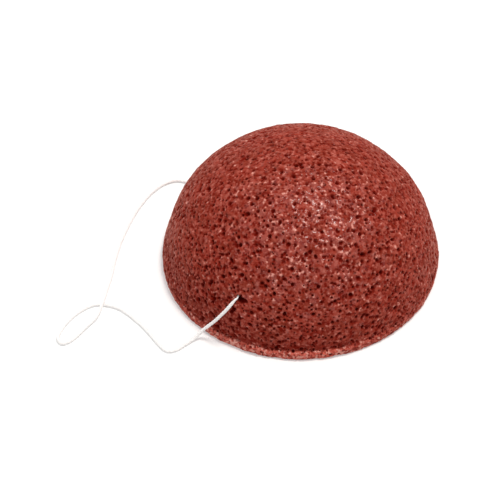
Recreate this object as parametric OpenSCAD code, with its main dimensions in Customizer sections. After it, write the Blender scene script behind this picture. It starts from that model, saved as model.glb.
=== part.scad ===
// Konjac sponge: a half ball of moulded plant fibre for washing the face, with a
// cotton string stitched through it and tied into a loop for hanging it up to dry.
// The middle of the flat base is the origin, +Z is up and -Y faces the viewer.

/* [Sponge] */
// Diameter over the lip at the foot of the sponge
lip_d = 80; // [70:1:95]
// Height of the crown above the flat base
sponge_h = 36.5; // [30:0.5:50]
// How far the lip stands out past the foot of the dome
lip_flare = 1.1; // [0.6:0.1:2]
// Height of the crease where the dome rises from the lip
lip_h = 2.8; // [2:0.1:5]
// Rounding of the lip's lower edge
lip_edge_r = 0.8; // [0.3:0.1:1]

/* [Stitch] */
// Distance of the stitch to the left of the middle
stitch_x = 16.7; // [5:0.1:20]
// Height of the stitch where it leaves the dome at the front
stitch_front_z = 16.7; // [10:0.1:20]
// Height of the stitch where it leaves the dome at the back
stitch_back_z = 9; // [7:0.5:16]
// Gap all round the string in its channel
channel_gap = 0.09; // [0.02:0.01:0.1]
// How far inside the surface the straight stitch ends
stitch_sink = 0.8; // [0.4:0.1:1]
// Width of the mouth that the needle tore in the surface
mouth_d = 3.2; // [2.4:0.1:4]
// Depth of that mouth
mouth_depth = 1.2; // [0.8:0.1:2]

/* [String] */
// Diameter of the cotton string
string_d = 1; // [0.8:0.05:1.2]

/* [Knot] */
// Diameter over the turns of the knot
knot_d = 3.6; // [3.2:0.1:5]
// Distance between two turns of the knot
turn_pitch = 0.85; // [0.6:0.05:1]
// Least gap between the knot and the sponge
knot_gap = 0.3; // [0.2:0.1:1]
// Length of each cut end, from the middle of the knot
tail_l = 6; // [4:0.5:12]
// Angle of the cut ends below the line of the stitch
tail_droop = 40; // [20:1:45]
// Angle of each cut end to its own side
tail_fan = 32; // [25:1:60]

/* [Hidden] */

foot_r = lip_d / 2 - lip_flare;
dome_h = sponge_h - lip_h;
dome_steps = 36;
edge_steps = 6;
past_cut = 3;

function unit(v) = v / norm(v);

// Where the line of the stitch meets the dome, at the front and at the back
function mouth_y(z) =
    sqrt(pow(foot_r, 2) * (1 - pow((z - lip_h) / dome_h, 2)) - pow(stitch_x, 2));
front_mouth = [-stitch_x, -mouth_y(stitch_front_z), stitch_front_z];
back_mouth = [-stitch_x, mouth_y(stitch_back_z), stitch_back_z];
stitch_dir = unit(back_mouth - front_mouth);
stitch_tilt = asin(-stitch_dir.z);
stitch_start = front_mouth + stitch_sink * stitch_dir;

// The dome's outward direction at the back, and how much of it lies along the stitch
back_out = unit([back_mouth.x / pow(foot_r, 2), back_mouth.y / pow(foot_r, 2),
                 (back_mouth.z - lip_h) / pow(dome_h, 2)]);
out_share = back_out * stitch_dir;

// The knot's outer turns clear the dome by knot_gap, measured square to the dome
turn_r = (knot_d - string_d) / 2;
knot_reach = turn_r * sqrt(1 - pow(out_share, 2)) + turn_pitch * out_share + string_d / 2;
knot_at = back_mouth + (knot_reach + knot_gap) / out_share * stitch_dir;
stitch_end = knot_at - turn_pitch * stitch_dir;
// Where the free string enters the knot, counted in turn radii from its middle
knot_entry_share = [-0.85, 0.1, -0.5];

// The free string leaves the stitch in the front mouth, lies over the dome and the lip
// to the table, crosses itself, runs round behind the sponge and climbs to the knot.
// Its first and last points belong to the stitch and to the knot.
route = concat([stitch_start], [
    [-17.1, -31.5, 16.4], [-17.7, -32.1, 16.2], [-18.7, -32.4, 14.9], [-20.1, -32.6, 12.8],
    [-21.8, -32.5, 10.3], [-23.6, -32.1, 7.5], [-25.3, -31.8, 5.3], [-27.1, -31.7, 3.2],
    [-29.2, -32.6, 1.2], [-31.9, -34.6, 0.6], [-34.3, -36.5, 0.5], [-36.9, -36.8, 0.5],
    [-39.3, -34.3, 0.5], [-41.8, -30.8, 0.5], [-45.2, -26.6, 0.5], [-51.1, -21.3, 0.5],
    [-57.1, -19.7, 0.5], [-61, -21.4, 0.5], [-64.3, -24.8, 0.5], [-66.6, -28.9, 0.5],
    [-67.3, -32.2, 0.5], [-65.9, -34.2, 0.5], [-63.2, -32.7, 0.5], [-60.2, -28.7, 0.6],
    [-57.1, -24.5, 1], [-55.8, -19.9, 1.7], [-55, -14.6, 1.2], [-54.3, -8.6, 0.6],
    [-53.7, -2.1, 0.5], [-52.6, 4.8, 0.5], [-50.8, 11.9, 0.5], [-48.4, 18.8, 0.5],
    [-45.3, 24.8, 0.5], [-41.4, 29.1, 0.5], [-37.7, 30.7, 0.5], [-34.3, 30.2, 0.5],
    [-30.7, 31, 0.6], [-27.8, 32.9, 0.9], [-24.5, 35.5, 2.2], [-21.3, 37.1, 5]
], [knot_at + turn_r * knot_entry_share]);
route_steps = 2;
string_sides = 8;

// A point between b and c, a share t of the way along the smooth curve a, b, c, d
function on_curve(a, b, c, d, t) =
    (2 * b + (c - a) * t + (2 * a - 5 * b + 4 * c - d) * pow(t, 2)
     + (3 * b - a - 3 * c + d) * pow(t, 3)) / 2;

// The string never sinks into the table, so no ring's middle is lower than its radius
function above_table(p, d) = [p.x, p.y, max(p.z, d / 2)];

function smooth(pts, steps) = let (n = len(pts) - 1,
    ends = concat([2 * pts[0] - pts[1]], pts, [2 * pts[n] - pts[n - 1]])) [
    for (i = [0 : n - 1]) for (k = [0 : steps - 1])
        on_curve(ends[i], ends[i + 1], ends[i + 2], ends[i + 3], k / steps),
    pts[n]
];

function square_to(v, t) = unit(v - (v * t) * t);

string_line = [for (p = smooth(route, route_steps)) above_table(p, string_d)];

// Length of the line along its points, from the point i on
function line_length(pts, i = 1) =
    i == len(pts) ? 0 : norm(pts[i] - pts[i - 1]) + line_length(pts, i + 1);

// Direction of the line at each of its points, with a given direction at the first
function headings(pts, first) = [
    for (i = [0 : len(pts) - 1]) i == 0 ? first : unit(pts[min(i + 1, len(pts) - 1)] - pts[i - 1])
];

// A sideways direction at each point, carried along the line without twisting
function sideways(dirs, side) = [
    for (i = 0, s = square_to(side, dirs[0]); i < len(dirs);
         i = i + 1, s = i < len(dirs) ? square_to(s, dirs[i]) : s) s
];

// A round string of diameter d along pts, whose first ring is square to first
module swept_string(pts, d, first) {
    dirs = headings(pts, first);
    sides = sideways(dirs, [0, 0, 1]);
    rings = len(pts);
    m = string_sides;
    points = [
        for (i = [0 : rings - 1]) for (k = [0 : m - 1]) let (a = 360 * k / m)
            pts[i] + d / 2 * (cos(a) * sides[i] + sin(a) * cross(dirs[i], sides[i]))
    ];
    walls = [
        for (i = [0 : rings - 2]) for (k = [0 : m - 1])
            let (a = i * m + k, b = i * m + (k + 1) % m)
                each [[a, a + m, b], [b, a + m, b + m]]
    ];
    caps = [for (k = [1 : m - 2]) each [
        [0, k, k + 1],
        [(rings - 1) * m, (rings - 1) * m + k + 1, (rings - 1) * m + k]
    ]];
    polyhedron(points = points, faces = concat(walls, caps), convexity = 10);
}

// Half of the sponge's cross-section: flat base, rounded lip, crease and dome
module half_section() {
    polygon(concat(
        [[0, 0]],
        [for (k = [0 : edge_steps]) let (a = -90 + 90 * k / edge_steps)
            [lip_d / 2 - lip_edge_r + lip_edge_r * cos(a), lip_edge_r + lip_edge_r * sin(a)]],
        [for (k = [0 : edge_steps]) let (a = 90 * k / edge_steps)
            [foot_r + lip_flare * cos(a), lip_h - lip_flare + lip_flare * sin(a)]],
        [for (k = [1 : dome_steps]) let (a = 90 * k / dome_steps)
            [k == dome_steps ? 0 : foot_r * cos(a), lip_h + dome_h * sin(a)]]
    ));
}

// Puts its children at a point of the stitch, with +Z along it towards the back
module on_stitch(at) {
    translate(at) rotate([-90 - stitch_tilt, 0, 0]) children();
}

// The needle's way through the sponge, from the front along +Z: a mouth whose rim is at
// the origin, a round channel, and the same mouth again at the back
module needle_way() {
    channel_r = string_d / 2 + channel_gap;
    slope_share = (mouth_d / 2 - channel_r) / mouth_depth;
    flared_r = mouth_d / 2 + past_cut * slope_share;
    stitch_l = norm(back_mouth - front_mouth);
    rotate_extrude($fn = 48) polygon([
        [0, -past_cut], [flared_r, -past_cut], [channel_r, mouth_depth],
        [channel_r, stitch_l - mouth_depth], [flared_r, stitch_l + past_cut],
        [0, stitch_l + past_cut]
    ]);
}

// The sponge: one moulded piece, with the channel that the needle made
module sponge_body() {
    color("#9c463a") difference() {
        rotate_extrude($fn = 180) half_section();
        on_stitch(front_mouth) needle_way();
    }
}

// The part of the string inside the sponge, and on to the knot at the back
module string_stitch() {
    color("#e9e2d8") on_stitch(stitch_start)
        cylinder(d = string_d, h = norm(stitch_end - stitch_start), $fn = 48);
}

// The free part of the string
module string_loop() {
    color("#f4f1ea") swept_string(string_line, string_d, -stitch_dir);
}

// The knot that joins both ends behind the sponge, and its two cut ends
module string_knot() {
    color("#f4f1ea") on_stitch(knot_at) {
        rotate_extrude($fn = 48) for (k = [-1 : 1])
            translate([turn_r, k * turn_pitch]) circle(d = string_d, $fn = 32);
        translate([0, 0, -turn_pitch]) cylinder(r = turn_r, h = 2 * turn_pitch, $fn = 48);
        for (side = [-1, 1]) rotate([0, 0, side * tail_fan]) rotate([-tail_droop, 0, 0])
            cylinder(d = string_d, h = tail_l, $fn = 32);
    }
}

echo(free_string_mm = line_length(string_line),
     stitch_mm = norm(stitch_end - stitch_start));

sponge_body();
string_stitch();
string_loop();
string_knot();
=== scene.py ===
import bpy
import numpy as np
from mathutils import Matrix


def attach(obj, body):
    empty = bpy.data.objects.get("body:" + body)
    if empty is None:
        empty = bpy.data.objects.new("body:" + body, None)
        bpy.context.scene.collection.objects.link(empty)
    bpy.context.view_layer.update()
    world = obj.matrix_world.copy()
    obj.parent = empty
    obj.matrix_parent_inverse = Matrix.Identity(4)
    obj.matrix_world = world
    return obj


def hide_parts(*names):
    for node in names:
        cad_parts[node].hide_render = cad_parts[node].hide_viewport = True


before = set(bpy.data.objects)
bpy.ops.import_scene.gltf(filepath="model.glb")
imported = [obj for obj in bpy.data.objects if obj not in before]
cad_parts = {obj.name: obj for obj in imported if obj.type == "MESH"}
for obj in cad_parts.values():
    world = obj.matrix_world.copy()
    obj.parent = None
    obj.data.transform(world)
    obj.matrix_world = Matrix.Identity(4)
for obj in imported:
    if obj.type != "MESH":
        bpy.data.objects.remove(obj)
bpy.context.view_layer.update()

# Sponge: a half ball of konjac fibre, moulded wet in one go, frozen and thawed, so that
# ice leaves open pores all through it. Its foot has a small lip where the mould closes.
# Two torn mouths show where a needle pulled the string through.
MM = 0.001  # the shapes below are worked out in millimetres
SPONGE_H = 36.5
LIP_R = 40.0
FOOT_R = 38.9  # radius of the dome where it rises from the lip
LIP_H = 2.8
LIP_FLARE = LIP_R - FOOT_R
LIP_EDGE_R = 0.8
DOME_H = SPONGE_H - LIP_H
LIP_FADE_H = 6  # where the lip fades, the dome widens to meet it over this height
TOP_RINGS = 304
BASE_RINGS = TOP_RINGS // 2
DOME_STEPS, EDGE_STEPS = 2000, 200
GOLDEN_TURN = np.pi * (3 - np.sqrt(5))
LATTICE_N = 64
# How clearly the lip stands out from the dome, by direction: 0 right, 90 back, 180 left
LIP_DIRECTIONS = (0, 40, 90, 120, 150, 180, 205, 218, 232, 250, 280, 300, 320, 360)
LIP_STANDS = (0.2, 0.7, 1, 0.8, 0.3, 0.05, 0.2, 0.65, 1, 1, 1, 0.6, 0.3, 0.2)


def unit(v):
    """Each vector over its own length."""
    return v / np.linalg.norm(v, axis=-1, keepdims=True)


def smooth_step(low, high, x):
    """0 below low, 1 above high, and 3t^2 - 2t^3 between them."""
    t = np.clip((x - low) / (high - low), 0, 1)
    return t * t * (3 - 2 * t)


def lumps(places, size, seed):
    """Smooth random heights from -1 to 1: a lattice of random numbers that stand size mm
    apart, blended between the 8 corners of each cell with 3t^2 - 2t^3 along each axis.
    The lattice starts again after LATTICE_N cells."""
    lattice = np.random.default_rng(seed).uniform(-1, 1, (LATTICE_N,) * 3)
    cell = np.floor(places / size).astype(int)
    t = places / size - cell
    t = t * t * (3 - 2 * t)
    total = 0
    for corner in np.ndindex(2, 2, 2):
        share = np.prod(np.where(corner, t, 1 - t), axis=-1)
        i, j, k = np.moveaxis((cell + corner) % LATTICE_N, -1, 0)
        total = total + share * lattice[i, j, k]
    return total


def uneven(places, *layers):
    """The sum of some layers of lumps, each given as (height, size, seed)."""
    return sum(height * lumps(places, size, seed) for height, size, seed in layers)


def square_sheet(rings):
    """A round sheet of 2 * rings + 1 points a side: each point's ring, which is the larger
    of its two counts from the middle, and its direction, an eighth of a turn per ring's
    half side. Returns (ring, x, y) as square arrays."""
    i, j = np.meshgrid(
        np.arange(-rings, rings + 1), np.arange(-rings, rings + 1), indexing="ij"
    )
    wide = np.abs(i) > np.abs(j)
    ring = np.where(wide, i, j).astype(float)
    short = np.where(wide, j, i)
    angle = np.pi / 4 * np.divide(short, ring, out=np.zeros_like(ring), where=ring != 0)
    x = np.where(wide, np.cos(angle), np.sin(angle)) * np.sign(ring)
    y = np.where(wide, np.sin(angle), np.cos(angle)) * np.sign(ring)
    return np.abs(ring), x, y


def sheet_spot(ring, angle, rings):
    """The row and column of the sheet's point nearest to a ring and a direction: the
    direction is counted from the nearest quarter, and that side's counts are turned."""
    turn = np.round(angle / (np.pi / 2)) * np.pi / 2
    across = ring * (angle - turn) / (np.pi / 4)
    row = rings + ring * np.cos(turn) - across * np.sin(turn)
    col = rings + ring * np.sin(turn) + across * np.cos(turn)
    return np.round(row).astype(int), np.round(col).astype(int)


def round_the_edge(sheet):
    """The outermost ring of a square array, in order round the sheet."""
    return np.concatenate(
        [sheet[-1, :-1], sheet[:0:-1, -1], sheet[0, :0:-1], sheet[:-1, 0]]
    )


def half_section(counts, crease):
    """(distance from the axis, height, length down) at even lengths from the crown to the
    flat base: a quarter ellipse, a quarter round, a short wall and a lower quarter round.
    With a crease of 0 the dome widens smoothly to the lip's own radius instead."""
    a = np.linspace(np.pi / 2, 0, DOME_STEPS)
    b = np.linspace(np.pi / 2, 0, EDGE_STEPS)
    dome_z = LIP_H + DOME_H * np.sin(a)
    foot = LIP_FLARE * (1 - crease) * smooth_step(LIP_H + LIP_FADE_H, LIP_H, dome_z)
    r = np.concatenate(
        [
            FOOT_R * np.cos(a) + foot,
            FOOT_R + LIP_FLARE * (1 - crease + crease * np.cos(b)),
            LIP_R - LIP_EDGE_R + LIP_EDGE_R * np.sin(b),
        ]
    )
    z = np.concatenate(
        [
            dome_z,
            LIP_H - LIP_FLARE + LIP_FLARE * np.sin(b),
            LIP_EDGE_R - LIP_EDGE_R * np.cos(b),
        ]
    )
    down = np.concatenate([[0], np.cumsum(np.hypot(np.diff(r), np.diff(z)))])
    at = counts * down[-1] / counts.max()
    return np.interp(at, down, r), np.interp(at, down, z), at


def strewn(number, down, radius, seed):
    """Spots all over a round sheet, about evenly far apart: they lie on a spiral that
    turns by the golden angle from each to the next and gives each an equal area, and are
    then shaken by a third of their spacing. Returns (length down, direction, spacing)."""
    rng = np.random.default_rng(seed)
    area = np.concatenate(
        [[0], np.cumsum(np.pi * (radius[1:] + radius[:-1]) * np.diff(down))]
    )
    spacing = np.sqrt(area[-1] / number)
    share = (np.arange(number) + 0.5) / number
    at = np.interp(share * area[-1], area, down) + rng.normal(0, spacing / 3, number)
    at = np.clip(at, 0, down[-1])
    wide = np.maximum(np.interp(at, down, radius), spacing)
    angle = GOLDEN_TURN * np.arange(number) + rng.normal(0, spacing / 3, number) / wide
    return at, angle % (2 * np.pi), spacing


POINT_GAP = 0.107  # least distance between two points of the sheet
PORE_FLOOR, PORE_RIM = 0.3, 1.1  # where a pore's wall ends and starts, over its radius
MOST_DRAWN = 1.5  # length over width of the longest pores


def pored(places, rows, cols, middles, bowls, pores, seed):
    """How far the bowls and the open pores sink each point of the sheet. A bowl of radius
    R sinks by its depth times 1 - t^2, where t is the distance over R. A pore has steep
    walls: it sinks by its whole depth from t = PORE_RIM to t = PORE_FLOOR. Each is drawn
    out a little one way, and where two meet, the deeper one counts. bowls and pores are
    (radii, depths)."""
    rng = np.random.default_rng(seed)
    ways = unit(rng.normal(size=(len(rows), 3)))
    drawn = 1 - rng.uniform(1, MOST_DRAWN, len(rows)) ** -2
    bowl = np.zeros(places.shape[:2])
    pore = np.zeros(places.shape[:2])
    widest = np.maximum(bowls[0], PORE_RIM * pores[0])
    reach = np.ceil(widest / POINT_GAP).astype(int)
    for k, (row, col, n) in enumerate(zip(rows, cols, reach)):
        near = np.s_[max(row - n, 0) : row + n + 1, max(col - n, 0) : col + n + 1]
        away = places[near] - middles[k]
        far = np.sqrt((away**2).sum(-1) - drawn[k] * (away @ ways[k]) ** 2)
        cap = bowls[1][k] * np.clip(1 - (far / bowls[0][k]) ** 2, 0, 1)
        bowl[near] = np.maximum(bowl[near], cap)
        if pores[1][k]:
            wall = smooth_step(PORE_FLOOR, PORE_RIM, far / pores[0][k])
            pore[near] = np.maximum(pore[near], pores[1][k] * (1 - wall))
    return bowl, pore


def grid_faces(index):
    """Quads of a grid of point numbers, whose first side crossed with its second points
    out of the surface."""
    return np.stack(
        [index[:-1, :-1], index[1:, :-1], index[1:, 1:], index[:-1, 1:]], -1
    ).reshape(-1, 4)


def mesh_piece(name, points, faces, material):
    """A smooth-shaded mesh object at the origin, from points in mm and lists of faces
    that each have one number of corners."""
    mesh = bpy.data.meshes.new(name)
    corners = np.concatenate([f.reshape(-1) for f in faces])
    totals = np.concatenate([np.full(len(f), f.shape[1]) for f in faces])
    mesh.vertices.add(len(points))
    mesh.vertices.foreach_set("co", (points * MM).astype(np.float32).ravel())
    mesh.loops.add(len(corners))
    mesh.loops.foreach_set("vertex_index", corners.astype(np.int32))
    mesh.polygons.add(len(totals))
    starts = np.concatenate([[0], np.cumsum(totals)[:-1]])
    mesh.polygons.foreach_set("loop_start", starts.astype(np.int32))
    mesh.polygons.foreach_set("loop_total", totals.astype(np.int32))
    mesh.polygons.foreach_set("use_smooth", np.ones(len(totals), bool))
    mesh.update(calc_edges=True)
    mesh.materials.append(material)
    piece = bpy.data.objects.new(name, mesh)
    bpy.context.scene.collection.objects.link(piece)
    return piece


def point_mask(piece, name, *values):
    """Keeps one number per point of the mesh for its material to read."""
    piece.data.attributes.new(name, "FLOAT", "POINT").data.foreach_set(
        "value", np.concatenate([v.ravel() for v in values]).astype(np.float32)
    )


def new_material(name):
    """(material, its node tree, its Principled shader)."""
    material = bpy.data.materials.new(name)
    material.use_nodes = True
    tree = material.node_tree
    return material, tree, tree.nodes["Principled BSDF"]


def node(tree, kind, **settings):
    """A new node of one kind, with its settings."""
    made = tree.nodes.new(kind)
    for key, value in settings.items():
        setattr(made, key, value)
    return made


def set_inputs(made, values):
    """Puts plain values on a node's inputs, by name."""
    for name, value in values.items():
        made.inputs[name].default_value = value


def noise(tree, vector, size_mm, detail, roughness):
    """A noise whose largest features are size_mm across, in object coordinates."""
    made = node(tree, "ShaderNodeTexNoise")
    scale = 1 / (size_mm * MM)
    set_inputs(made, {"Scale": scale, "Detail": detail, "Roughness": roughness})
    tree.links.new(vector, made.inputs["Vector"])
    return made.outputs["Fac"]


def ranged(tree, value, low, high, to_low=0.0, to_high=1.0):
    """value taken from low..high to to_low..to_high on a smooth step, and held there."""
    made = node(tree, "ShaderNodeMapRange", interpolation_type="SMOOTHSTEP")
    set_inputs(made, {"From Min": low, "From Max": high})
    set_inputs(made, {"To Min": to_low, "To Max": to_high})
    tree.links.new(value, made.inputs["Value"])
    return made.outputs["Result"]


def mixed(tree, share, a, b):
    """Colour a turned into colour b by share, where each is a colour or a socket."""
    made = node(tree, "ShaderNodeMix", data_type="RGBA")
    for socket, given in ((0, share), (6, a), (7, b)):
        if isinstance(given, bpy.types.NodeSocket):
            tree.links.new(given, made.inputs[socket])
        else:
            made.inputs[socket].default_value = (*given, 1) if socket else given
    return made.outputs[2]


def math(tree, operation, a, b):
    """One operation on a and b, where each is a number or a socket."""
    made = node(tree, "ShaderNodeMath", operation=operation)
    for socket, given in enumerate((a, b)):
        if isinstance(given, bpy.types.NodeSocket):
            tree.links.new(given, made.inputs[socket])
        else:
            made.inputs[socket].default_value = given
    return made.outputs[0]


def fine_grain_group():
    """The fine grain of foam and of cotton, as one group that each material gives its own
    values: the height of a noise tilts the surface's normal."""
    group = bpy.data.node_groups.new("fine_grain", "ShaderNodeTree")
    noise_inputs, bump_inputs = ("Scale", "Detail", "Roughness"), ("Strength", "Distance")
    new_socket = group.interface.new_socket
    new_socket("Vector", in_out="INPUT", socket_type="NodeSocketVector")
    for name in noise_inputs + bump_inputs:
        new_socket(name, in_out="INPUT", socket_type="NodeSocketFloat")
    new_socket("Normal", in_out="OUTPUT", socket_type="NodeSocketVector")
    given = node(group, "NodeGroupInput").outputs
    height = node(group, "ShaderNodeTexNoise")
    bump = node(group, "ShaderNodeBump")
    for name in ("Vector",) + noise_inputs:
        group.links.new(given[name], height.inputs[name])
    for name in bump_inputs:
        group.links.new(given[name], bump.inputs[name])
    group.links.new(height.outputs["Fac"], bump.inputs["Height"])
    result = node(group, "NodeGroupOutput")
    group.links.new(bump.outputs["Normal"], result.inputs["Normal"])
    return group


FINE_GRAIN = fine_grain_group()


def add_grain(tree, shader, vector, size_mm, detail, roughness, strength, height_mm):
    """Places the fine grain in a material and leads it to its shader's normal."""
    made = node(tree, "ShaderNodeGroup", node_tree=FINE_GRAIN)
    set_inputs(made, {
        "Scale": 1 / (size_mm * MM), "Detail": detail, "Roughness": roughness,
        "Strength": strength, "Distance": height_mm * MM,
    })
    tree.links.new(vector, made.inputs["Vector"])
    tree.links.new(made.outputs["Normal"], shader.inputs["Normal"])


# Where the stitch leaves the dome: the middle of each torn mouth, as in the frame
STITCH_X, STITCH_FRONT_Z, STITCH_BACK_Z = -16.7, 16.7, 9.0


def mouth_at(z, side):
    """The dome's point at height z on the stitch's side: x^2 + y^2 is the square of the
    dome's radius there, which is FOOT_R sqrt(1 - h^2) at a share h of its height."""
    y = np.sqrt(FOOT_R**2 * (1 - ((z - LIP_H) / DOME_H) ** 2) - STITCH_X**2)
    return np.array([STITCH_X, side * y, z])


FRONT_MOUTH = mouth_at(STITCH_FRONT_Z, -1)
BACK_MOUTH = mouth_at(STITCH_BACK_Z, 1)
STITCH_DIR = unit(BACK_MOUTH - FRONT_MOUTH)

# The sheet over the dome and the lip: the lip is clear where LIP_STANDS is 1
ring, east, north = square_sheet(TOP_RINGS)
lip_clear = np.interp(
    np.degrees(np.arctan2(north, east)) % 360, LIP_DIRECTIONS, LIP_STANDS
)
creased = half_section(ring, 1.0)
plain = half_section(ring, 0.0)
radius = plain[0] + lip_clear * (creased[0] - plain[0])
height = plain[1] + lip_clear * (creased[1] - plain[1])
down = creased[2]
top = np.stack([radius * east, radius * north, height], -1)

# Outward directions: square to the section, smoothed three times, and turned round
section_r, section_z, section_down = half_section(np.arange(TOP_RINGS + 1.0), 1.0)
out_r, out_z = -np.gradient(section_z), np.gradient(section_r)
for _ in range(3):
    out_r, out_z = (
        np.convolve(np.pad(v, 1, mode="edge"), [0.25, 0.5, 0.25], "valid")
        for v in (out_r, out_z)
    )
out_r[0] = 0
section_out = unit(np.stack([out_r, out_z], -1))[ring.astype(int)]
top_out = np.stack(
    [section_out[..., 0] * east, section_out[..., 0] * north, section_out[..., 1]], -1
)

# Lengths down the section to the crease and to the flat base
CREASE_DOWN = section_down[np.searchsorted(-section_z, -LIP_H)]
END_DOWN = section_down[-1]

# The lip is trimmed by hand: it wanders in and out, and up and down, and a short stretch
# of it at the front stands off the table
LIFT_X, LIFT_W, LIFT_H = 9.5, 2.2, 0.5
on_lip = lip_clear * smooth_step(CREASE_DOWN - 0.3, CREASE_DOWN + 0.4, down)
around = np.stack([top[..., 0], top[..., 1], 0 * down], -1)
wander = uneven(around, (0.12, 9, 11), (0.12, 2.2, 12))
rise = uneven(around, (0.25, 6, 13), (0.25, 1.9, 14))
rise_share = smooth_step(CREASE_DOWN - 3, CREASE_DOWN, down) * smooth_step(
    END_DOWN, END_DOWN - 2.6, down
)
lifted = LIFT_H * np.exp(-(((top[..., 0] - LIFT_X) / LIFT_W) ** 2)) * (top[..., 1] < 0)
top_moved = top + (on_lip * wander)[..., None] * np.stack([east, north, 0 * east], -1)
top_moved[..., 2] += lip_clear * rise_share * rise
top_moved[..., 2] += lifted * smooth_step(CREASE_DOWN + 0.8, END_DOWN, down)

# Pores: a shallow bowl at every spot, of which about half are open at the bottom, some
# wide ones, finer ones on the lip, a ragged row of them along the crease, and more wide
# ones low at the front. A depth drawn below 0 leaves that bowl shut.
SMALL_N, WIDE_N, LIP_N, CREASE_N, LOW_N = 9800, 1350, 2600, 260, 320
rng = np.random.default_rng(5)
at, angle, spacing = strewn(SMALL_N, section_down, section_r, seed=6)
bowl_r = spacing * rng.uniform(0.5, 0.85, SMALL_N)
bowl_deep = rng.uniform(0.03, 0.18, SMALL_N)
pore_r = bowl_r * rng.uniform(0.42, 0.72, SMALL_N)
pore_deep = rng.uniform(-0.6, 0.50, SMALL_N).clip(0)

wide_at, wide_angle, _ = strewn(WIDE_N, section_down, section_r, seed=8)
wide_r = 0.36 + 0.36 * rng.uniform(0, 1, WIDE_N) ** 1.6
lip_at = rng.uniform(CREASE_DOWN, END_DOWN - 0.4, LIP_N)
lip_r = rng.uniform(0.22, 0.42, LIP_N)
crease_at = CREASE_DOWN + rng.normal(-0.2, 0.35, CREASE_N)
crease_r = rng.uniform(0.25, 0.45, CREASE_N)
lip_angle = rng.uniform(0, 2 * np.pi, LIP_N)
crease_angle = rng.uniform(0, 2 * np.pi, CREASE_N)
wide_deep = wide_r * rng.uniform(0.6, 1.5, WIDE_N) * (wide_at < CREASE_DOWN)
lip_deep = lip_r * rng.uniform(-1.2, 0.7, LIP_N).clip(0)
crease_deep = crease_r * rng.uniform(0.4, 1.1, CREASE_N)

low_rng = np.random.default_rng(12)
low_at = CREASE_DOWN * low_rng.uniform(0.45, 0.98, LOW_N)
low_angle = np.radians(low_rng.uniform(190, 325, LOW_N))
low_r = low_rng.uniform(0.36, 0.60, LOW_N)
low_deep = low_r * low_rng.uniform(0.3, 1.0, LOW_N)

# Each kind: lengths down, directions, bowls' radii and depths, pores' radii and depths
kinds = (
    (at, angle, bowl_r, bowl_deep, pore_r, pore_deep),
    (wide_at, wide_angle, 1.35 * wide_r, 0.25 + 0 * wide_r, wide_r, wide_deep),
    (lip_at, lip_angle, 1.3 * lip_r, 0.4 * lip_r, 0.7 * lip_r, lip_deep),
    (crease_at, crease_angle, crease_r, 0.2 + 0 * crease_r, crease_r, crease_deep),
    (low_at, low_angle, 1.35 * low_r, 0.2 + 0 * low_r, low_r, low_deep),
)
at, angle, bowl_r, bowl_deep, pore_r, pore_deep = map(np.concatenate, zip(*kinds))
rows, cols = sheet_spot(at / END_DOWN * TOP_RINGS, angle, TOP_RINGS)
middles = top[rows, cols]

# They vary in size by up to COARSE: wider in some patches, at the front and at the foot
COARSE = 0.22
coarser = lumps(middles, size=16, seed=21)
coarser = coarser - 0.4 * middles[:, 1] / LIP_R - 0.3 * (middles[:, 2] / SPONGE_H)
coarse = 1 + COARSE * np.clip(coarser, -1, 1)
bowls, pores = (bowl_r * coarse, bowl_deep), (pore_r * coarse, pore_deep)
bowl, pore = pored(top, rows, cols, middles, bowls, pores, seed=7)

# The skin between the pores is uneven, and all of it ends before the lower edge
from_edge = smooth_step(END_DOWN, END_DOWN - 0.8, down)
broad = uneven(top, (0.20, 15, 31), (0.09, 3.1, 32))
broad_share = smooth_step(END_DOWN, END_DOWN - 3, down)
small = uneven(top, (0.09, 1.3, 33), (0.04, 0.6, 34))
unevenness = broad * broad_share + small * from_edge
top_points = top_moved + (unevenness - from_edge * (bowl + pore))[..., None] * top_out

# The parts of a torn mouth: the well round the string, the puckered skin round the well,
# the fold of skin beside it, and the tear, whose floor and rim are shares of its size
MOUTH_REACH = 5
WELL_DEEP, WELL_FLOOR_R, WELL_RIM_R = 5.0, 0.38, 0.60
PUCKER_H, PUCKER_MORE_H, PUCKER_TOP_R, PUCKER_FOOT_R = 0.3, 0.8, 0.5, 1.9
FOLD_H, FOLD_R = 1.0, 0.55
TEAR_DEEP, TEAR_FLOOR, TEAR_RIM = 2.2, 0.55, 1.1


def mouth(points, middle, inward, tear, long_way, tear_size, seed):
    """Opens a torn mouth: round the stitch the skin is puckered outwards, most on the
    side above the tear, and goes down a narrow well. Beside it lies the tear, an oval
    about the point tear that is long in long_way, with a fold of skin between the two.
    Well, pucker and tear follow a smooth step of the distance, and the fold follows
    e^(-d^2 / R^2). Returns the moved points and how deep each went."""
    away = top - middle
    off_axis = away - (away @ inward)[..., None] * inward
    d = np.linalg.norm(off_axis, axis=-1) + 0.08 * lumps(top, 0.9, seed)
    near = np.linalg.norm(away, axis=-1) < MOUTH_REACH
    well = WELL_DEEP * (1 - smooth_step(WELL_FLOOR_R, WELL_RIM_R, d))
    upper = smooth_step(-0.3, 0.9, off_axis @ unit(tear * np.array([1, 1, -1])))
    pucker = PUCKER_H + PUCKER_MORE_H * upper
    pucker = pucker * (1 - smooth_step(PUCKER_TOP_R, PUCKER_FOOT_R, d))
    fold = FOLD_H * np.exp(-((away - 0.4 * tear) ** 2).sum(-1) / FOLD_R**2)
    beside = away - tear
    along = beside @ unit(long_way)
    across = np.maximum((beside**2).sum(-1) - along**2, 0)
    t = np.sqrt(across / tear_size[1] ** 2 + (along / tear_size[0]) ** 2)
    t = t + 0.2 * lumps(top, 0.8, seed + 1)
    torn = TEAR_DEEP * (1 - smooth_step(TEAR_FLOOR, TEAR_RIM, t))
    sunk = np.where(near, np.maximum(well, torn), 0)
    moved = np.where(near, sunk - pucker - fold, 0)
    return points + moved[..., None] * inward, sunk


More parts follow.
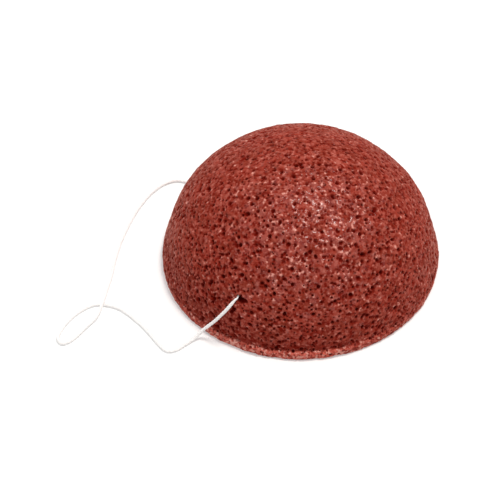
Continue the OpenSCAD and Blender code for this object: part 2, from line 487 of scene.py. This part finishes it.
front_tear = np.array([0.78, -0.92, -0.60])
front_way = np.array([0.86, -0.54, -0.17])
top_points, front_sunk = mouth(
    top_points, FRONT_MOUTH, STITCH_DIR, front_tear, front_way, (1.6, 1.15), seed=41
)
back_tear = np.array([-0.9, 0.3, 0.5])
top_points, back_sunk = mouth(
    top_points, BACK_MOUTH, -STITCH_DIR, back_tear, back_tear, (0.9, 0.6), seed=43
)

# The flat base has the same pores, pressed a little flatter by the mould's plate
BASE_N = 2600
base_ring, base_east, base_north = square_sheet(BASE_RINGS)
base_r = (LIP_R - LIP_EDGE_R) * base_ring / (BASE_RINGS + 0.5)
base = np.stack([base_r * base_east, base_r * base_north, 0 * base_r], -1)
flat_r = np.linspace(0, base_r.max(), BASE_RINGS + 1)
at, angle, spacing = strewn(BASE_N, flat_r, flat_r, seed=9)
rows, cols = sheet_spot(at / flat_r[-1] * BASE_RINGS, angle, BASE_RINGS)
bowl_r = spacing * rng.uniform(0.5, 0.8, BASE_N)
pore_r = bowl_r * rng.uniform(0.5, 0.85, BASE_N)
bowl_deep = rng.uniform(0.1, 0.25, BASE_N)
pore_deep = pore_r * rng.uniform(-0.6, 1.7, BASE_N).clip(0)
bowls, pores = (bowl_r, bowl_deep), (pore_r, pore_deep)
base_bowl, base_pore = pored(base, rows, cols, base[rows, cols], bowls, pores, seed=10)
base_edge = smooth_step(LIP_R - LIP_EDGE_R, LIP_R - LIP_EDGE_R - 1.2, base_r)
base_sunk = base_edge * (base_bowl + base_pore + 0.08 + 0.08 * lumps(base, 6, 35))
base_points = base + base_sunk[..., None] * np.array([0, 0, 1.0])

# What the material reads at each point of the dome and the lip: the bowls are redder,
# partly the gel's deeper red and partly painted shade, a band of painted shade lies above
# the crease, the lip is paler, partly its own skin and partly painted light, and the sponge
# is moistest above its front and on the lip, where the same mask also paints glints as pale
# specks
# The moist patch lies where the lamp's highlight falls on the dome: it wets the coat there,
# and it also paints more pale ridges and specks there as a painted highlight
MOIST_GLINT_AT = np.array([3.0, -20.0, 31.0])
MOIST_GLINT_FAR, MOIST_GLINT_NEAR = 32, 8
from_moist_glint = np.linalg.norm(top - MOIST_GLINT_AT, axis=-1)
# The lip, and a band along the lower edge all round, are paler: partly the lip's own skin,
# partly painted light where they catch the lamp
pale_and_lit_rim = np.maximum(on_lip, 0.7 * smooth_step(CREASE_DOWN + 1.0, CREASE_DOWN + 2.2, down))
moist_and_glint_top = 0.18 * smooth_step(MOIST_GLINT_FAR, MOIST_GLINT_NEAR, from_moist_glint) + 0.2 * pale_and_lit_rim
# A band of painted shade just above the crease, where the lip shades the dome's foot
crease_painted_shade = 0.85 * lip_clear * np.exp(-(((down - CREASE_DOWN + 1.2) / 1.8) ** 2))
# The bowls redden by their depth, partly the gel's deeper red and partly painted shade, and
# the crease's painted shade joins them
in_hollow_top = np.maximum(np.clip(bowl / 0.18, 0, 1), crease_painted_shade)
# The pores and the torn mouths take the pores' dark red by how deep they sink: partly the
# gel's own red, partly painted shade
in_pore_top = smooth_step(0.0, 0.55, pore + front_sunk + back_sunk)
in_hollow_base = np.clip(base_bowl / 0.28, 0, 1)
in_pore_base = smooth_step(0.0, 0.55, base_pore)

# Numbers of the points, and the strip of faces that closes the lower edge
top_index = np.arange(down.size).reshape(down.shape)
base_index = down.size + np.arange(base_r.size).reshape(base_r.shape)
outer, inner = round_the_edge(top_index), round_the_edge(base_index)
after = np.roll(outer, -1)
seam_tris = np.stack([outer[::2], after[::2], inner], -1)
seam_quads = np.stack(
    [after[::2], np.roll(after, -1)[::2], np.roll(inner, -1), inner], -1
)

sponge_material, tree, shader = new_material("moist_konjac")
FLESH_PINK = (0.295, 0.036, 0.0215)
FLESH_BROWN = (0.215, 0.025, 0.013)
DEEP_RED_AND_SHADE = (0.160, 0.006, 0.002)
PORE_RED_AND_SHADE = (0.12, 0.0025, 0.0006)
PALE_AND_HIGHLIGHT_PINK = (0.52, 0.145, 0.110)
PAINTED_GLINT_PINK = (0.72, 0.315, 0.255)
LIP_PINK_AND_LIGHT = (0.70, 0.142, 0.100)
where = node(tree, "ShaderNodeTexCoord").outputs["Object"]
in_hollow, in_pore, lip_share, moist_and_glint = (
    node(tree, "ShaderNodeAttribute", attribute_name=name).outputs["Fac"]
    for name in ("in_hollow", "in_pore", "lip_share", "moist_and_glint")
)

# Brown and pink flesh in patches of 4 mm, with paler clouds in it. The lip is pinker,
# partly its own skin and partly painted light where it faces up to the lamp
patches = ranged(tree, noise(tree, where, 4, detail=3, roughness=0.6), 0.36, 0.64)
colour = mixed(tree, patches, FLESH_BROWN, FLESH_PINK)
colour = mixed(tree, math(tree, "MULTIPLY", lip_share, 0.75), colour, LIP_PINK_AND_LIGHT)
pale = ranged(tree, noise(tree, where, 1.5, detail=3, roughness=0.65), 0.40, 0.78)
colour = mixed(tree, math(tree, "MULTIPLY", pale, 0.55), colour, PALE_AND_HIGHLIGHT_PINK)

# Deep red in flecks of 1.2 mm, fewer of them on the lip. In the bowls and above the crease
# the same red is partly the gel's own and partly painted shade
red = ranged(tree, noise(tree, where, 1.2, detail=2, roughness=0.6), 0.48, 0.66)
red_most = math(tree, "SUBTRACT", 0.9, math(tree, "MULTIPLY", lip_share, 0.3))
colour = mixed(tree, math(tree, "MULTIPLY", red, red_most), colour, DEEP_RED_AND_SHADE)
colour = mixed(tree, ranged(tree, in_hollow, 0.4, 1.0, to_high=0.7), colour, DEEP_RED_AND_SHADE)

# Pale ridges, and rarer paler specks of 1 mm that are painted glints, more of them on the
# lip.
# In the moist patch, under the lamp's highlight, both are painted more often, as painted
# highlight
speck = noise(tree, where, 1.05, detail=1, roughness=0.5)
ridge_and_highlight = math(tree, "ADD", speck, math(tree, "MULTIPLY", moist_and_glint, 0.2))
colour = mixed(tree, ranged(tree, ridge_and_highlight, 0.52, 0.72, to_high=0.55), colour, PALE_AND_HIGHLIGHT_PINK)
painted_glint = math(tree, "ADD", speck, math(tree, "MULTIPLY", lip_share, 0.09))
painted_glint = math(tree, "ADD", painted_glint, math(tree, "MULTIPLY", moist_and_glint, 0.38))
colour = mixed(tree, ranged(tree, painted_glint, 0.69, 0.79, to_high=0.8), colour, PAINTED_GLINT_PINK)
# Dark red in the pores: partly the gel's own, partly painted shade
colour = mixed(tree, in_pore, colour, PORE_RED_AND_SHADE)
tree.links.new(colour, shader.inputs["Base Color"])

# A thin coat of water in patches, none of it in the pores, the bowls or seen edge on
film = noise(tree, where, 2.2, detail=2, roughness=0.6)
wet = ranged(tree, math(tree, "ADD", film, moist_and_glint), 0.60, 0.68)
dry = math(tree, "MAXIMUM", in_pore, ranged(tree, in_hollow, 0.3, 0.8))
edge_on = node(tree, "ShaderNodeLayerWeight").outputs["Facing"]
dry = math(tree, "MAXIMUM", dry, ranged(tree, edge_on, 0.2, 0.7))
coat = math(tree, "MULTIPLY", wet, 0.85)
coat = math(tree, "MULTIPLY", coat, math(tree, "SUBTRACT", 1.0, dry))
tree.links.new(coat, shader.inputs["Coat Weight"])
set_inputs(shader, {
    "Roughness": 0.6, "Specular IOR Level": 0.01,
    "Sheen Weight": 0.55, "Sheen Roughness": 0.28, "Sheen Tint": (1.0, 0.60, 0.51, 1),
    "Coat Roughness": 0.22, "Coat IOR": 1.36,
})
add_grain(
    tree, shader, where, 0.4, detail=3, roughness=0.65, strength=0.28, height_mm=0.10
)

sponge = mesh_piece(
    "sponge",
    np.concatenate([top_points.reshape(-1, 3), base_points.reshape(-1, 3)]),
    [grid_faces(top_index), grid_faces(base_index)[:, ::-1], seam_tris, seam_quads],
    sponge_material,
)
point_mask(sponge, "in_hollow", in_hollow_top, in_hollow_base)
point_mask(sponge, "in_pore", in_pore_top, in_pore_base)
point_mask(sponge, "lip_share", pale_and_lit_rim, 0 * base_r)
point_mask(sponge, "moist_and_glint", moist_and_glint_top, 0 * base_r)
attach(sponge, "sponge")
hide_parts("sponge_body")

# String: 1 mm cotton string of three plies twisted together, limp. It leaves the front
# mouth, lies over the dome and the lip to the table, crosses itself and climbs to the knot.
STRING_D = 1.0
KNOT_D = 3.6
TURN_PITCH = 0.85
KNOT_GAP = 0.3
STITCH_SINK = 0.8
TURN_R = (KNOT_D - STRING_D) / 2
# The knot stands off along the stitch until its outer turns clear the dome by KNOT_GAP,
# measured along the dome's outward direction at the back mouth
back_out = unit((BACK_MOUTH - [0, 0, LIP_H]) / np.array([FOOT_R, FOOT_R, DOME_H]) ** 2)
out_share = back_out @ STITCH_DIR
knot_reach = TURN_R * np.sqrt(1 - out_share**2) + TURN_PITCH * out_share + STRING_D / 2
KNOT_AT = BACK_MOUTH + (knot_reach + KNOT_GAP) / out_share * STITCH_DIR
STITCH_START = FRONT_MOUTH + STITCH_SINK * STITCH_DIR
KNOT_ENTRY = KNOT_AT + TURN_R * np.array([-0.85, 0.1, -0.5])
# Points that the string runs through, from inside the front mouth to inside the knot
ROUTE = np.array([
    STITCH_START, (-17.1, -31.5, 16.4), (-17.7, -32.1, 16.2), (-18.7, -32.4, 14.9),
    (-20.1, -32.6, 12.8), (-21.8, -32.5, 10.3), (-23.6, -32.1, 7.5), (-25.3, -31.8, 5.3),
    (-27.1, -31.7, 3.2), (-29.2, -32.6, 1.2), (-31.9, -34.6, 0.6), (-34.3, -36.5, 0.5),
    (-36.9, -36.8, 0.5), (-39.3, -34.3, 0.5), (-41.8, -30.8, 0.5), (-45.2, -26.6, 0.5),
    (-51.1, -21.3, 0.5), (-57.1, -19.7, 0.5), (-61, -21.4, 0.5), (-64.3, -24.8, 0.5),
    (-66.6, -28.9, 0.5), (-67.3, -32.2, 0.5), (-65.9, -34.2, 0.5), (-63.2, -32.7, 0.5),
    (-60.2, -28.7, 0.6), (-57.1, -24.5, 1), (-55.8, -19.9, 1.7), (-55, -14.6, 1.2),
    (-54.3, -8.6, 0.6), (-53.7, -2.1, 0.5), (-52.6, 4.8, 0.5), (-50.8, 11.9, 0.5),
    (-48.4, 18.8, 0.5), (-45.3, 24.8, 0.5), (-41.4, 29.1, 0.5), (-37.7, 30.7, 0.5),
    (-34.3, 30.2, 0.5), (-30.7, 31, 0.6), (-27.8, 32.9, 0.9), (-24.5, 35.5, 2.2),
    (-21.3, 37.1, 5), KNOT_ENTRY,
])


def smooth_line(points, steps):
    """The smooth curve through points, with steps pieces between two of them, on a cubic
    that runs at each of its ends as the line between that end's two neighbours does."""
    before, after = 2 * points[0] - points[1], 2 * points[-1] - points[-2]
    ends = np.concatenate([[before], points, [after]])
    a, b, c, d = ends[:-3, None], ends[1:-2, None], ends[2:-1, None], ends[3:, None]
    t = (np.arange(steps) / steps)[None, :, None]
    line = (
        2 * b + (c - a) * t
        + (2 * a - 5 * b + 4 * c - d) * t**2
        + (3 * b - a - 3 * c + d) * t**3
    ) / 2
    return np.concatenate([line.reshape(-1, 3), points[-1:]])


def evenly(line, spacing):
    """The line's points moved along it until they are about spacing mm apart."""
    along = np.concatenate([[0], np.cumsum(np.linalg.norm(np.diff(line, axis=0), axis=1))])
    at = np.linspace(0, along[-1], int(round(along[-1] / spacing)) + 1)
    return np.stack([np.interp(at, along, line[:, k]) for k in range(3)], -1)


def carried_sides(line, across):
    """(length along, side, up) at each point of a line. The side starts square to the
    direction across, and is turned back by the sum of the small turns that staying square
    to it makes from point to point, so that it never twists round the line."""
    steps = np.linalg.norm(np.diff(line, axis=0), axis=1)
    heading = unit(np.gradient(line, axis=0))
    side = unit(np.cross(heading, across))
    up = np.cross(heading, side)
    turn = np.arctan2((side[:-1] * up[1:]).sum(-1), (side[:-1] * side[1:]).sum(-1))
    turn = np.concatenate([[0], np.cumsum(turn)])[:, None]
    side = np.cos(turn) * side + np.sin(turn) * up
    return np.concatenate([[0], np.cumsum(steps)]), side, np.cross(heading, side)


PLY_R, PLY_OFF = 0.34, 0.14  # a ply's own radius, and how far its middle lies off the axis
LAY = 3.4  # length of one whole twist


def twisted_string(line, sides, across=(0, 0, 1), thick=1.0):
    """Points, in rings, of three plies twisted together along a line: each ring's reach
    from the axis is PLY_OFF cos a + sqrt(PLY_R^2 - PLY_OFF^2 sin^2 a), where a is the
    angle off the nearest ply, and the plies turn once every LAY mm. thick is its share
    of the string's thickness, all along or at each point, which slubs vary by 5%."""
    along, side, up = carried_sides(line, across)
    around = 2 * np.pi * np.arange(sides) / sides
    twist = 2 * np.pi * along[:, None] / LAY
    a = (around - twist + np.pi / 3) % (2 * np.pi / 3) - np.pi / 3
    reach = PLY_OFF * np.cos(a) + np.sqrt(PLY_R**2 - (PLY_OFF * np.sin(a)) ** 2)
    reach = reach * (thick * (1 + 0.05 * lumps(line, 1.7, 51)))[:, None]
    return (
        line[:, None]
        + (reach * np.cos(around))[..., None] * side[:, None]
        + (reach * np.sin(around))[..., None] * up[:, None]
    )


SQUEEZE = 0.5
SQUEEZE_NEAR, SQUEEZE_FAR = 0.8, 3.8


def squeezed(line):
    """The string's share of its thickness at each point of a line: the sponge closes
    round it at the front mouth and takes SQUEEZE of it off, up to SQUEEZE_NEAR from its
    start. From there a smooth step leads to the whole thickness at SQUEEZE_FAR."""
    from_hole = np.linalg.norm(line - STITCH_START, axis=-1)
    return 1 - SQUEEZE * smooth_step(SQUEEZE_FAR, SQUEEZE_NEAR, from_hole)


def tubes(ring_sets):
    """All points and faces of some closed tubes, each given as a grid of rings. The caps
    with the same number of corners are kept together."""
    walls, start_caps, end_caps, first = [], {}, {}, 0
    for rings in ring_sets:
        index = first + np.arange(rings[..., 0].size).reshape(rings.shape[:2])
        first += index.size
        closed = np.concatenate([index, index[:, :1]], 1)
        walls.append(grid_faces(closed)[:, ::-1])
        start_caps.setdefault(index.shape[1], []).append(index[0])
        end_caps.setdefault(index.shape[1], []).append(index[-1, ::-1])
    caps = [np.array(c) for kind in (start_caps, end_caps) for c in kind.values()]
    points = np.concatenate([rings.reshape(-1, 3) for rings in ring_sets])
    return points, [np.concatenate(walls), *caps]


string_material, tree, shader = new_material("cotton_string")
COTTON = (0.98, 0.953, 0.940)
COTTON_SHADE = (0.945, 0.909, 0.892)
where = node(tree, "ShaderNodeTexCoord").outputs["Object"]
shade = ranged(tree, noise(tree, where, 0.5, detail=3, roughness=0.6), 0.3, 0.55)
tree.links.new(mixed(tree, shade, COTTON_SHADE, COTTON), shader.inputs["Base Color"])
set_inputs(shader, {"Roughness": 0.9, "Specular IOR Level": 0.5, "Sheen Weight": 0.9})
add_grain(
    tree, shader, where, 0.12, detail=2, roughness=0.6, strength=0.4, height_mm=0.03
)

# The line never sinks into the table, so it stays half the string's thickness above it
string_line = smooth_line(ROUTE, steps=12)
string_line[:, 2] = np.maximum(string_line[:, 2], STRING_D / 2)
string_line = evenly(string_line, spacing=0.125)
string_rings = twisted_string(string_line, sides=24, thick=squeezed(string_line))
string = mesh_piece("string", *tubes([string_rings]), string_material)
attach(string, "string")
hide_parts("string_loop")

# Stitch: the run of the same cotton string through the sponge, which the needle pulled
# straight. It shows only in the two mouths.
stitch_end = KNOT_AT - TURN_PITCH * STITCH_DIR
stitch_line = evenly(np.array([STITCH_START, stitch_end]), spacing=0.25)
stitch_rings = twisted_string(stitch_line, 18, (1, 0, 0), thick=squeezed(stitch_line))
stitch = mesh_piece("stitch", *tubes([stitch_rings]), string_material)
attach(stitch, "string")
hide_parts("string_stitch")

# Knot: one end of the string is wound round the other behind the sponge and pulled tight.
# Both ends are cut off 6 mm from it, and their plies open and fray.
TAIL_L = 6.0
TAIL_DROOP, TAIL_FAN = np.radians(40), np.radians(32)
FRAY_L = 1.5
ACROSS = np.array([1, 0, 0])
knot_axes = np.stack([ACROSS, np.cross(STITCH_DIR, ACROSS), STITCH_DIR])


def at_knot(points):
    """Points given across, down and outwards from the knot's middle, put in place."""
    return KNOT_AT + np.asarray(points, float) @ knot_axes


def tail_way(side):
    """Direction of a cut end, across, down and outwards: it droops below the stitch's
    line, and the two fan out to their own sides."""
    across, below = -side * np.sin(TAIL_FAN), np.cos(TAIL_FAN)
    droop = np.sin(TAIL_DROOP)
    return np.array([across * droop, below * droop, np.cos(TAIL_DROOP)])


# The core end runs straight out of the stitch and sags a little at its tip
core_inside = [(0, 0, -0.9), (0, 0, -0.3), (0, 0, 0.4)]
core_tail = tail_way(1) * np.array([[1.0], [2.4], [3.8], [TAIL_L - FRAY_L]])
core_tail[-1, 1] += 0.25
core = smooth_line(at_knot(np.concatenate([core_inside, core_tail])), steps=10)

# The winding end: two and a quarter turns, out of the core and into its own cut end
TURNS, WOUND_R, FIRST_TURN, WOUND_PITCH = 2.25, 1.12, -0.85, 0.80
turns = np.linspace(0, TURNS, 28)
wound_r = WOUND_R * smooth_step(-0.3, 0.3, turns)
wound_angle = 2 * np.pi * turns - 0.4
wound = np.stack(
    [
        wound_r * np.cos(wound_angle),
        wound_r * np.sin(wound_angle),
        FIRST_TURN + WOUND_PITCH * turns,
    ],
    -1,
)
wound_tail = wound[-1] + tail_way(-1) * np.array([[1.1], [2.3], [3.4], [4.3]])
wound_tail[-1, 1] += 0.35
winding = smooth_line(at_knot(np.concatenate([wound, wound_tail])), steps=6)
core, winding = evenly(core, spacing=0.12), evenly(winding, spacing=0.12)

FIBRES = 26
FIBRE_RINGS, FIBRE_SIDES = 8, 6
OPEN_PLY_R, OPEN_PLY_SPREAD = 0.23, 0.30


def frayed(line, seed):
    """The opened end of a string: its three plies lean apart and narrow to a point, and
    FIBRES loose fibres fan out. Each is p(s) = p0 + L (s way + s^2 bend), in rings that
    narrow with s^2."""
    rng = np.random.default_rng(seed)
    heading = unit(line[-1] - line[-5])
    side = unit(np.cross(heading, [0.2, 0.1, 1]))
    up = np.cross(heading, side)
    ply_turn = 2 * np.pi * np.arange(3) / 3
    turn = np.concatenate([ply_turn, rng.uniform(0, 2 * np.pi, FIBRES)])
    spread = np.concatenate([np.full(3, OPEN_PLY_SPREAD), rng.uniform(0.1, 0.9, FIBRES)])
    length = np.concatenate([rng.uniform(1.1, 1.5, 3), rng.uniform(0.8, 2.0, FIBRES)])
    thick = np.concatenate([np.full(3, OPEN_PLY_R), rng.uniform(0.02, 0.035, FIBRES)])
    outward = np.cos(turn)[:, None] * side + np.sin(turn)[:, None] * up
    off_axis = np.minimum(spread, OPEN_PLY_SPREAD)[:, None] * 0.5 * outward
    start = line[-1] - 0.25 * heading + off_axis
    way = unit(heading + spread[:, None] * outward)
    bend = 0.25 * rng.normal(size=(FIBRES + 3, 3))
    s = np.linspace(0, 1, FIBRE_RINGS)[None, :, None]
    run = s * way[:, None] + s**2 * bend[:, None]
    paths = start[:, None] + length[:, None, None] * run
    around = 2 * np.pi * np.arange(FIBRE_SIDES) / FIBRE_SIDES
    ring = np.cos(around)[:, None] * side + np.sin(around)[:, None] * up
    taper = thick[:, None] * (1 - 0.75 * s[..., 0] ** 2)
    return list(paths[:, :, None] + taper[..., None, None] * ring[None, None])


knot_rings = [
    twisted_string(core, 20, ACROSS, thick=0.95),
    twisted_string(winding, 20, STITCH_DIR, thick=0.92),
    *frayed(core, seed=61),
    *frayed(winding, seed=62),
]
knot = mesh_piece("knot", *tubes(knot_rings), string_material)
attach(knot, "string")
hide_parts("string_knot")

# Table, light and camera: a white table under one soft lamp in a white room, which is
# brighter behind the table than on the camera's side. To the eye the table is white
# everywhere but in the object's shadow.
AMBIENT = 0.725
AMBIENT_TILT = 0.15
TABLE_WHITE = (0.79, 0.79, 0.79, 1)
TABLE_HALF = 3
TABLE_GLOW, FAR_GLOW = 0.24, 0.54
GLOW_NEAR, GLOW_FAR = 0.15, 1.0  # between these distances the one turns into the other


def white_to_the_eye(tree, seen, unseen):
    """A strength of seen for rays from the camera, a mirror or glass, and of unseen for
    the rays that light the object."""
    path = node(tree, "ShaderNodeLightPath").outputs
    glossy = math(tree, "MAXIMUM", path["Is Glossy Ray"], path["Is Transmission Ray"])
    eye = math(tree, "MAXIMUM", path["Is Camera Ray"], glossy)
    lit = math(tree, "MULTIPLY", math(tree, "SUBTRACT", 1.0, eye), unseen)
    return math(tree, "ADD", math(tree, "MULTIPLY", eye, seen), lit)


table_material = bpy.data.materials.new("white_table")
table_material.use_nodes = True
tree = table_material.node_tree
tree.nodes.clear()
diffuse = node(tree, "ShaderNodeBsdfDiffuse")
diffuse.inputs["Color"].default_value = TABLE_WHITE
glow = node(tree, "ShaderNodeEmission")
from_middle = node(tree, "ShaderNodeVectorMath", operation="LENGTH")
tree.links.new(node(tree, "ShaderNodeTexCoord").outputs["Object"], from_middle.inputs[0])
distance = from_middle.outputs["Value"]
seen = ranged(tree, distance, GLOW_NEAR, GLOW_FAR, TABLE_GLOW, FAR_GLOW)
tree.links.new(white_to_the_eye(tree, seen, 0.0), glow.inputs["Strength"])
both = node(tree, "ShaderNodeAddShader")
tree.links.new(diffuse.outputs[0], both.inputs[0])
tree.links.new(glow.outputs[0], both.inputs[1])
out = node(tree, "ShaderNodeOutputMaterial")
tree.links.new(both.outputs[0], out.inputs["Surface"])
table_corners = TABLE_HALF * np.array([(-1, -1, 0), (1, -1, 0), (1, 1, 0), (-1, 1, 0)])
table_mesh = bpy.data.meshes.new("table")
table_mesh.from_pydata(table_corners.tolist(), [], [(0, 1, 2, 3)])
table_mesh.materials.append(table_material)
table = bpy.data.objects.new("table", table_mesh)
bpy.context.scene.collection.objects.link(table)

world = bpy.data.worlds.new("white_room")
bpy.context.scene.world = world
world.use_nodes = True
tree = world.node_tree
tree.nodes.clear()
sky = node(tree, "ShaderNodeBackground")
sky.inputs["Color"].default_value = (1, 1, 1, 1)
direction = node(tree, "ShaderNodeSeparateXYZ")
tree.links.new(node(tree, "ShaderNodeTexCoord").outputs["Generated"], direction.inputs[0])
tilt = math(tree, "MULTIPLY", direction.outputs["Y"], AMBIENT_TILT)
room = math(tree, "ADD", tilt, AMBIENT)
tree.links.new(white_to_the_eye(tree, 1.0, room), sky.inputs["Strength"])
out = node(tree, "ShaderNodeOutputWorld")
tree.links.new(sky.outputs[0], out.inputs["Surface"])

# The lamp hangs above the sponge's right side and is turned to face it
LAMP_AT = (0.16, 0.02, 0.74)
LAMP_OUT = 0.161  # how far out from the middle it hangs
lamp_data = bpy.data.lights.new("overhead", "AREA")
lamp_data.shape = "DISK"
lamp_data.size = 0.17
lamp_data.energy = 3.1
lamp_data.color = (1.0, 0.97, 0.92)
lamp = bpy.data.objects.new("overhead", lamp_data)
lamp.location = LAMP_AT
lamp.rotation_euler = (
    0,
    np.arctan2(LAMP_OUT, LAMP_AT[2]),
    np.arctan2(LAMP_AT[1], LAMP_AT[0]),
)
bpy.context.scene.collection.objects.link(lamp)

# The camera looks down at the photograph's angle, and its shift gives the same framing
CAMERA_DISTANCE = 0.480
CAMERA_HEIGHT_ANGLE = np.radians(46.51)
camera_data = bpy.data.cameras.new("camera")
camera_data.lens = 118.73
camera_data.sensor_width = 36
camera_data.shift_x = -0.1011
camera_data.shift_y = 0.0102
camera_data.clip_start = 0.01
camera_data.clip_end = 20
camera = bpy.data.objects.new("camera", camera_data)
camera.location = (
    0,
    -CAMERA_DISTANCE * np.cos(CAMERA_HEIGHT_ANGLE),
    CAMERA_DISTANCE * np.sin(CAMERA_HEIGHT_ANGLE),
)
camera.rotation_euler = (np.pi / 2 - CAMERA_HEIGHT_ANGLE, 0, 0)
bpy.context.scene.collection.objects.link(camera)
bpy.context.scene.camera = camera
bpy.context.scene.view_settings.view_transform = "Standard"
